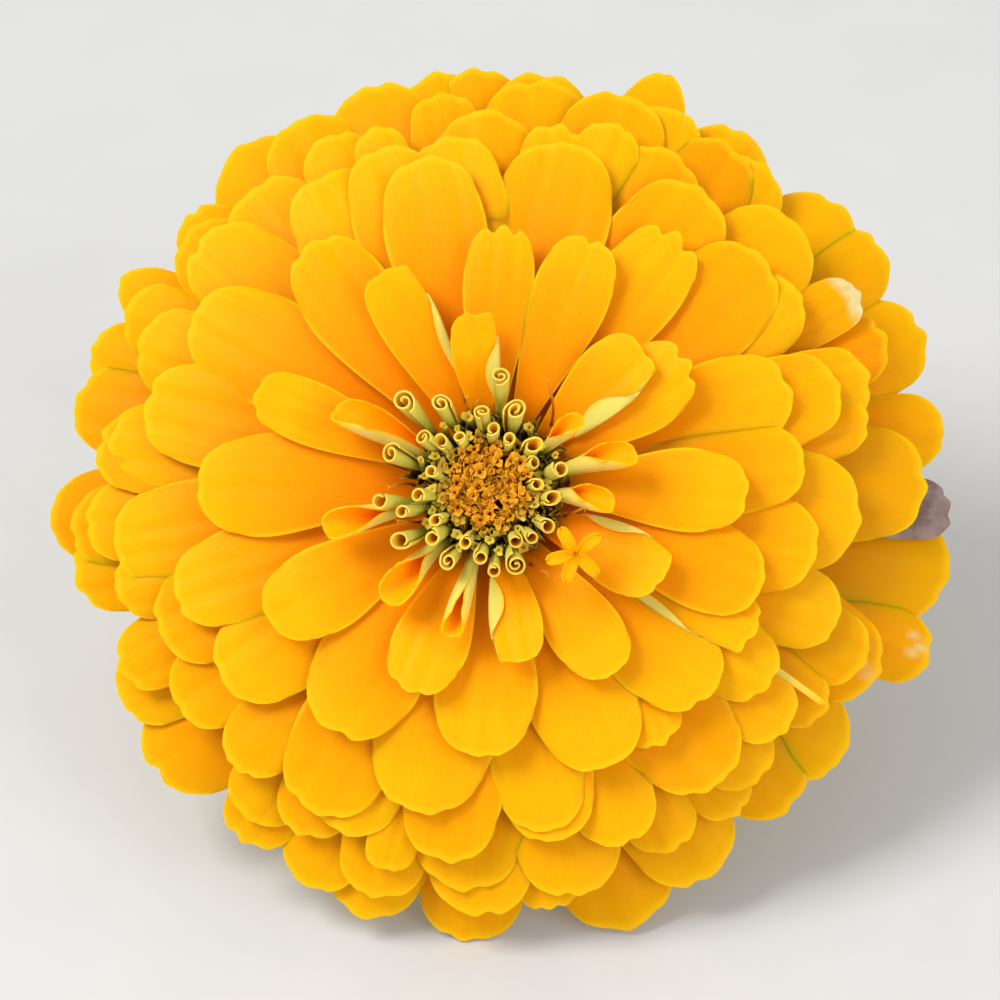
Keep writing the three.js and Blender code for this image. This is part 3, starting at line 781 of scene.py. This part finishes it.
def scroll(shells, i, azimuth, distance, width, turns):
    """A young ray rolled lengthwise into a tube that opens towards its mouth."""
    columns = 12 + int(16 * turns)
    mouth = SCROLL_HEIGHT + SCROLL_RISE * (distance - SCROLL_INNER)
    foot = np.array((min(distance * 0.8, SCROLL_FOOT), CORE_TOP - 0.4))
    controls = np.array((
        foot,
        (max(distance - 2.2, foot[0]), foot[1] + 1.6),
        (max(distance - 1.1, foot[0]), mouth - 3.0),
        (distance, mouth),
    ))
    s, v = np.meshgrid(np.linspace(0, 1, SCROLL_ROWS), np.linspace(0, 1, columns), indexing="ij")
    point, tangent = bezier(controls, s)
    outward, side = bearings(azimuth)
    spine = point[..., :1] * outward + point[..., 1:] * AXIS
    lean = tangent[..., :1] * outward + tangent[..., 1:] * AXIS
    front = tangent[..., 1:] * outward - tangent[..., :1] * AXIS
    hand = 1 if draw(i, 21) > 0 else -1
    start = math.pi + 0.9 * draw(i, 22)
    turn = start + hand * 2 * np.pi * turns * v
    inward = np.maximum(v * turns - OVERLAP, 0) / max(turns, 1.01)
    tight = 1 - inward * (1.15 if turns > WOUND_RAY else 0.5) + 0.35 * smooth(0.22, 0, v * turns)
    grown = lerp(0.30, 0.9, smooth(0.1, 0.8, s)) + 0.10 * smooth(0.75, 1, s)
    reach = (width / 2 - 0.1) * tight * grown
    slant = 0.30 * width * np.cos(turn - start) * smooth(0.55, 1, s) * draw(i, 23)
    place = (
        spine
        + front * (reach * np.cos(turn))[..., None]
        + side * (reach * SCROLL_OVAL * np.sin(turn))[..., None]
        + lean * slant[..., None]
    )
    if hand < 0:
        place = place[:, ::-1]
    thick = SCROLL_THICKNESS * (1 - 0.3 * np.abs(2 * v - 1) ** 6) * lerp(1.0, 0.85, s)
    shells.sheet(place, thick, s, 2 * v - 1, tone=0.5 + 0.5 * draw(i, 24))


def scrolls(young):
    shells = Shells()
    for i, row in enumerate(SCROLLS):
        scroll(shells, i, *row)
    shells.make("rolled_rays", young, "young_petal", "young_rays")


def clear_of_scrolls(azimuth, distance, gap):
    """Whether a place in the disc keeps clear of every scroll's mouth."""
    here = polar(azimuth, distance, 0.0)
    return all(
        np.linalg.norm(here - polar(a, d - 0.5, 0.0)) > width / 2 + gap
        for a, d, width, _ in SCROLLS
    )


CHAFF_ROWS = 9
CHAFF_TEETH = 5
CHAFF_THICKNESS = 0.13


def chaff_scale(shells, i, azimuth, distance, foot, height, width, lean, curl, tone):
    """A narrow scale whose fringed tip bends over."""
    columns = 2 * CHAFF_TEETH + 1
    s, u = grid(CHAFF_ROWS, columns)
    spread = np.array([draw(i, 40 + c) for c in range(columns)])
    fringe = 0.66 + 0.34 * (np.arange(columns) % 2 == 0) + 0.08 * spread
    along = s * lerp(1.0, fringe[None, :], s**2)
    slope = np.radians(lean + curl * along**2 + 38 * spread * s**3)
    step = np.diff(along, axis=0, prepend=0) * height
    outward, side = bearings(azimuth + 75 * draw(i, 62))
    out = np.cumsum(np.sin(slope) * step, axis=0)
    up = np.cumsum(np.cos(slope) * step, axis=0)
    arc = u * (0.55 + 0.45 * s) * width / 2
    wave = 0.25 * width * np.cos(2.6 * u + 2 * draw(i, 61))
    place = (
        polar(azimuth, distance, foot)
        + AXIS * up[..., None]
        + outward * (out + wave)[..., None]
        + side * (arc * (1 + 0.2 * draw(i, 60)))[..., None]
    )
    shells.sheet(place, CHAFF_THICKNESS, along, u, tone=tone)


GOLDEN_ANGLE = 137.508
CROWN_SIDES = 20


def crown(shells, i, azimuth, distance, foot, top, girth, flare, lobed, mouth, tone):
    """A disc floret: a small tube with uneven lobes around its mouth."""
    ring = circle(CROWN_SIDES)
    turn = np.radians(ring)
    wave = 0.6 * np.cos(5 * turn + 3 * draw(i, 91)) + 0.9 * np.cos(2 * turn + 3 * draw(i, 92))
    wave = wave + 0.7 * np.cos(3 * turn + 3 * draw(i, 95))
    wave = wave + 0.4 * np.array([draw(i, 100 + k) for k in range(CROWN_SIDES)])
    lean = polar(azimuth + 90 * draw(i, 93), 0.14 + 0.22 * draw(i, 94), 0.0)
    base = polar(azimuth, distance, 0.0)
    rings = []
    profile = (
        (0.5, foot, 0), (0.65, lerp(foot, top, 0.6), 0), (0.9, top - 0.45, 0.3),
        (1.0 + flare, top - 0.05, 1), (0.9 + flare, top + 0.04, 1),
        (lerp(0.45, 0.62, mouth), top - 0.2, 0.6),
        (lerp(0.12, 0.42, mouth), top - lerp(0.3, 0.7, mouth), 0.3),
        (lerp(0.06, 0.3, mouth), top - lerp(0.4, 1.6, mouth), 0),
    )
    for share, z, open_share in profile:
        radius = girth * share * (1 + lobed * wave * open_share)
        high = z + girth * 1.2 * lobed * wave * open_share
        centre = base * lerp(0.9, 1, (z - foot) / (top - foot)) + lean * (z - top)
        rings.append(centre + polar(ring, radius, high))
    shells.tube(
        np.array(rings),
        along=(0, 0.3, 0.6, 0.9, 1.0, 0.8, 0.45, 0.1),
        under=(1, 1, 1, 1, 1, 0.6, 0, 0),
        tone=tone,
    )


def disc(chaff, young):
    """The crinkled centre, golden in the middle and green-brown between the rolled rays."""
    shells = Shells()
    count, outer = 210, 8.6
    for i in range(count):
        distance = outer * math.sqrt((i + 0.4) / count)
        azimuth = (i * GOLDEN_ANGLE + 9 * draw(i, 31)) % 360
        inner = 1 - float(smooth(4.6, 7.0, distance))
        top = lerp(33.4, 35.3, inner) + 0.4 * draw(i, 32)
        foot = CORE_TOP + lerp(0.9, -0.6, distance / outer)
        lean = 3 + 10 * distance / outer + 8 * draw(i, 33)
        curl = lerp(-20, -75, inner) + 45 * draw(i, 36)
        width = lerp(1.5, 1.0, inner) * (1 + 0.25 * draw(i, 34))
        tone = np.clip(inner + 0.18 * draw(i, 35), 0, 1)
        if clear_of_scrolls(azimuth, distance, 0.1):
            chaff_scale(shells, i, azimuth, distance * 0.96, foot, (top - foot) * 1.08, width,
                        lean, curl, tone)
    count, outer = 92, 6.4
    for i in range(count):
        distance = outer * math.sqrt((i + 0.3) / count)
        azimuth = (i * GOLDEN_ANGLE + 20 + 12 * draw(i, 37)) % 360
        if clear_of_scrolls(azimuth, distance, 0.2):
            inner = 1 - float(smooth(4.2, 6.2, distance))
            top = lerp(34.1, 34.9, inner) + 0.4 * draw(i, 38)
            crown(shells, i, azimuth, distance, CORE_TOP - 0.2, top, 0.5 + 0.14 * draw(i, 39),
                  0.3 + 0.25 * draw(i, 30), 0.3, 0.6 + 0.4 * draw(i, 29), 0.15 + 0.85 * inner)
    shells.make("disc_chaff", chaff, "disc", "disc_florets")

    shells = Shells()
    count, inner, outer = 54, 4.9, 8.5
    for i in range(count):
        distance = math.sqrt(lerp(inner**2, outer**2, (i + 0.5) / count))
        azimuth = (i * GOLDEN_ANGLE + 40) % 360
        if clear_of_scrolls(azimuth, distance, 0.28):
            top = 33.9 + 0.10 * distance + 0.4 * draw(i, 72)
            crown(shells, i + 200, azimuth, distance, CORE_TOP - 1.0, top, 0.5 + 0.14 * draw(i, 71),
                  0.05 * draw(i, 75), 0.2, 0.15 * (1 + draw(i, 73)), 0.5 + 0.5 * draw(i, 74))
    shells.make("disc_buds", young, "disc", "disc_florets")


# Styles of the ray florets as (azimuth, distance of the foot, of the tip, swing in degrees).
STYLES = [
    (45.5, 9.6, 13.1, 14), (108, 7.6, 9.8, -4), (297, 9.8, 12.4, 6), (207, 8.8, 11, -4),
    (338, 9, 11.2, 6), (178, 8.8, 11.2, 5),
]


def style(shells, i, azimuth, foot, tip, swing):
    """The thin forked style that stands at the root of a ray floret."""
    outward, side = bearings(azimuth)
    share = np.linspace(0, 1, 14)
    height = lerp(CORE_TOP, 36.6 + 0.6 * draw(i, 26), np.sin(share * 1.35))
    spine = polar(azimuth + swing * share**2, lerp(foot, tip, share**1.3), height)
    shells.thread(spine, lerp(0.19, 0.13, share), side, along=0.8 * share)
    for fork in (-1, 1):
        bend = np.linspace(0, 1, 7)[:, None]
        branch = (
            spine[-1]
            + outward * 0.3 * bend
            + side * fork * 0.3 * bend**1.5
            + AXIS * (0.2 * bend - 0.5 * bend**2)
        )
        shells.thread(branch, lerp(0.12, 0.06, bend[:, 0]), side + polar(azimuth, 0.2, 1.0),
                      along=lerp(0.8, 1.0, bend[:, 0]))


def styles(look):
    shells = Shells()
    for i, row in enumerate(STYLES):
        style(shells, i, *row)
    shells.make("ray_styles", look, "disc", "ray_florets")


STAR_CENTRE = (319.8, 13.0, 37.4)  # azimuth, distance, height
STAR_LOBES = (38, 121, 194, 250, 316)
LOBE_LENGTH = 3.4
LOBE_HALF_WIDTH = 0.68


def star(petal):
    """The one open disc floret: a small five-lobed golden star."""
    shells = Shells()
    centre = polar(*STAR_CENTRE)
    for k, turn in enumerate(STAR_LOBES):
        s, u = grid(12, 9)
        half = LOBE_HALF_WIDTH * np.sqrt(np.clip(1 - np.abs((s - 0.57) / 0.43) ** 3, 0.03, 1))
        outward, side = bearings(turn)
        place = (
            centre
            + outward * (LOBE_LENGTH * s)[..., None]
            + side * (u * half)[..., None]
            + AXIS * (0.9 * np.sin(2.4 * s) + 0.35 * u**2)[..., None]
        )
        shells.sheet(place, 0.26, 0.5 + 0.4 * s, 0.8 * u, tone=1.1 + 0.15 * draw(k, 81))
    ring = circle(12)
    rings = [
        centre * (1, 1, 0) * lerp(0.62, 1, s) + polar(ring, lerp(0.3, 0.5, s), lerp(30, 37.5, s))
        for s in np.linspace(0, 1, 7)
    ]
    rings.append(centre + polar(ring, 0.32, 0.6))
    rings.append(centre + polar(ring, 0.12, 0.4))
    shells.tube(np.array(rings), along=np.append(np.linspace(0.1, 0.4, 7), (0.2, 0.0)), tone=0.3)
    shells.make("open_disc_floret", petal, "ray_petal", "disc_florets")


def receptacle(look):
    """The cone that every floret is rooted in, with its domed top."""
    profile = [(0.2, CORE_BOTTOM), (CORE_WIDE, CORE_BOTTOM)]
    profile += [(core_radius(z), z) for z in np.linspace(CORE_BOTTOM + 0.6, CORE_TOP, 10)]
    profile += [(CORE_NARROW * r, CORE_TOP + 1.3 * (1 - r * r)) for r in (0.85, 0.6, 0.35, 0.1)]
    turn = circle(48)
    rings = np.array([polar(turn, r, z) for r, z in profile])
    shells = Shells()
    heights = np.array([z for _, z in profile])
    shells.tube(rings, along=(heights - CORE_BOTTOM) / (CORE_TOP - CORE_BOTTOM))
    shells.make("receptacle", look, "disc", "ray_florets")


# ---------------- cup and stem


# Rows of bracts as (count, lower end, upper end, width, how far the tips stand off).
BRACT_ROWS = ((11, 0.5, 4.0, 4.4, 0.55), (13, 2.4, 6.6, 5.2, 0.6), (14, 4.6, 9.6, 5.6, 0.65),
              (14, 7.0, 12.1, 5.6, 0.5))
HAIRS = 900


def cup_radius(z):
    return np.interp(z, (GAP, 2.6, 6, CUP_TOP - 2, CUP_TOP),
                     (NECK_RADIUS + 0.2, 8.6, 11.2, CUP_RADIUS, CUP_RADIUS - 0.8))


def bract(shells, i, azimuth, low, high, wide, proud):
    """A rounded scale of the cup; it stands proud towards its dark margin."""
    t, u = grid(12, 11)
    end = 1 - 0.24 * np.abs(u) ** 2.2
    along = t * (1 - (1 - end) * t**2)
    z = lerp(low, high, along)
    half = wide / 2 * (0.75 + 0.25 * np.sin(np.pi * np.clip(t * 0.9, 0, 1)))
    out = cup_radius(z) + 0.12 + proud * along**1.5 - 0.12 * u**2
    turn = azimuth + np.degrees(u * half / out)
    place = polar(turn, out, z)
    edge = np.maximum(smooth(0.80, 0.97, np.abs(u)) * smooth(0.3, 0.7, t), smooth(0.86, 0.97, t))
    thick = 0.5 * (1 - 0.5 * np.abs(u) ** 4) * (1 - 0.4 * t**4)
    tone = 0.5 + 0.5 * draw(i, 51)
    shells.sheet(place[:, ::-1], thick, along, u[:, ::-1], tone=tone, mark=edge[:, ::-1])


def cup(look):
    """Involucre: a closed bowl with rows of overlapping rounded bracts."""
    shells = Shells()
    turn = circle(48)
    heights = [GAP, 1.2, 2.6, 4.2, 6, 8, CUP_TOP - 2, CUP_TOP - 0.6, CUP_TOP]
    rings = [polar(turn, float(cup_radius(z)) - 0.3, z) for z in heights]
    shells.tube(np.array(rings), along=np.linspace(0, 1, len(rings)))
    i = 0
    for row, (count, low, high, wide, proud) in enumerate(BRACT_ROWS):
        for k in range(count):
            azimuth = (k + 0.5 * row + 0.08 * draw(i, 52)) * 360 / count
            bract(shells, i, azimuth, low, high + 0.3 * draw(i, 53), wide, proud)
            i += 1
    shells.make("bracts", look, "bract", "involucre")


def stem_point(azimuth, z, extra=0.0):
    """A point on the stem's ridged surface."""
    radius = np.interp(z, (-STEM_LENGTH, -STEM_LENGTH / 2, -6, -2, 0),
                       (STEM_RADIUS, STEM_RADIUS - 0.1, STEM_RADIUS + 0.2, STEM_RADIUS + 0.55,
                        NECK_RADIUS))
    ridge = 0.16 * np.cos(np.radians(azimuth) * 9) + 0.05 * np.cos(np.radians(azimuth) * 17 + 1)
    place = polar(azimuth, radius + ridge + extra, z)
    place[..., 0] -= STEM_BEND * (np.asarray(z) / STEM_LENGTH) ** 2
    return place


def stem(look, hair):
    """The ribbed stem with its cut end, and its short stiff hairs."""
    turn = circle(72)
    levels = np.linspace(-STEM_LENGTH, 0, 40)
    rings = [stem_point(turn, z) for z in levels]
    end = stem_point(turn, -STEM_LENGTH)
    centre = end.mean(0)
    cut = [lerp(centre, end, share) + np.array((0, 0, dip))
           for share, dip in ((0.3, 0.55), (0.55, 0.42), (0.72, 0.12), (0.9, 0.02))]
    shells = Shells()
    rings = np.array(cut + rings)
    along = np.concatenate([np.full(len(cut), -0.2), np.linspace(0, 1, len(levels))])
    marks = np.concatenate([[1, 0.9, 0.5, 0.15], np.zeros(len(levels))])
    shells.tube(rings, along=along, tone=0.4, mark=marks)
    shells.make("stem_skin", look, "stem", "stem")

    hairs = Shells()
    for i in range(HAIRS):
        azimuth = 180 * (draw(i, 61) + 1)
        z = -STEM_LENGTH * (0.5 + 0.49 * draw(i, 62))
        length = 0.75 + 0.35 * draw(i, 63)
        tilt = 0.35 * draw(i, 64)
        outward = bearings(azimuth)[0]
        rings = []
        for share, girth in ((-0.1, 0.05), (0.5, 0.032), (1.0, 0.008)):
            base = stem_point(azimuth + 6 * tilt * share, z - 0.25 * share**2, length * share)
            spread = polar(circle(3) + azimuth, girth, 0.0)
            flat = spread - np.outer(spread @ outward, outward)
            rings.append(base + flat + np.array([[0, 0, girth], [0, 0, -girth], [0, 0, -girth]]))
        hairs.tube(held(np.array(rings), 0.05, 0.2), along=(0, 0.5, 1.0), tone=0.9)
    hairs.make("stem_hairs", hair, "stem", "stem")


# ---------------- stage

VIEW = np.array((0.0537, -0.1055, 0.993))  # from the flower to the camera, in flower coordinates
DISTANCE = 700.0
PIXELS_PER_MM = 8.56
AIM = np.array((0.0, 0.5, 12.0))
SENSOR = 36.0
PICTURE = 1000.0
FLOOR_HALF = 3.0  # in metres, as are the lights' places and sizes
LIT = (0, 0, 0.03)
SKY = (0.93, 0.96, 1, 1)
SKY_STRENGTH = 0.66


def camera():
    data = bpy.data.cameras.new("camera")
    data.sensor_width = SENSOR
    data.lens = PIXELS_PER_MM * SENSOR / PICTURE * DISTANCE
    data.clip_start, data.clip_end = 0.01, 20
    eye = linked("camera", data)
    back = Vector(TURN @ unit(VIEW))
    right = Vector(TURN @ np.array((0, 1.0, 0))).cross(back).normalized()
    up = back.cross(right)
    eye.matrix_world = Matrix.Translation(
        Vector(to_world(AIM + unit(VIEW) * DISTANCE))
    ) @ Matrix((right, up, back)).transposed().to_4x4()
    bpy.context.scene.camera = eye


def area_light(name, place, size, power, colour):
    """A round soft light aimed at the flower."""
    data = bpy.data.lights.new(name, "AREA")
    data.shape = "DISK"
    data.size = size
    data.energy = power
    data.color = colour
    lamp = linked(name, data)
    lamp.location = place
    aim = Vector(LIT) - Vector(place)
    lamp.rotation_euler = aim.to_track_quat("-Z", "Y").to_euler()


def stage():
    """Pale floor, soft daylight from the upper left, and a pale sky."""
    mesh = bpy.data.meshes.new("floor")
    corners = [(FLOOR_HALF * x, FLOOR_HALF * y, 0) for x, y in ((-1, -1), (1, -1), (1, 1), (-1, 1))]
    mesh.from_pydata(corners, [], [(0, 1, 2, 3)])
    look = Look("floor")
    grain = look.noise(look.place(), 60.0, 4.0)
    mesh.materials.append(look.finish(
        look.mix(grain, (0.62, 0.615, 0.60), (0.66, 0.655, 0.64)),
        look.spread(grain, 0.2, 0.8, 0.55, 0.7)))
    linked("floor", mesh)
    world = bpy.data.worlds.new("sky")
    world.use_nodes = True
    sky = world.node_tree.nodes["Background"].inputs
    sky["Color"].default_value = SKY
    sky["Strength"].default_value = SKY_STRENGTH
    bpy.context.scene.world = world
    area_light("key", (-0.55, -0.25, 0.95), size=0.55, power=9.0, colour=(1.0, 0.98, 0.94))
    area_light("fill", (0.7, -0.7, 0.5), size=0.8, power=4.2, colour=(0.97, 0.98, 1.0))
    bpy.context.scene.view_settings.view_transform = "Standard"


camera()
stage()
petal, young = petal_look(), young_look()
rays(petal)
scrolls(young)
disc(chaff_look(), young)
styles(style_look())
star(petal)
receptacle(core_look())
cup(green_look("bract", (0.18, 0.27, 0.06), (0.08, 0.14, 0.03), (0.06, 0.025, 0.012)))
stem(
    green_look("stem", (0.23, 0.32, 0.09), (0.13, 0.21, 0.045), (0.48, 0.55, 0.28)),
    green_look("hair", (0.62, 0.68, 0.48), (0.5, 0.56, 0.36), (0.5, 0.5, 0.4)),
)
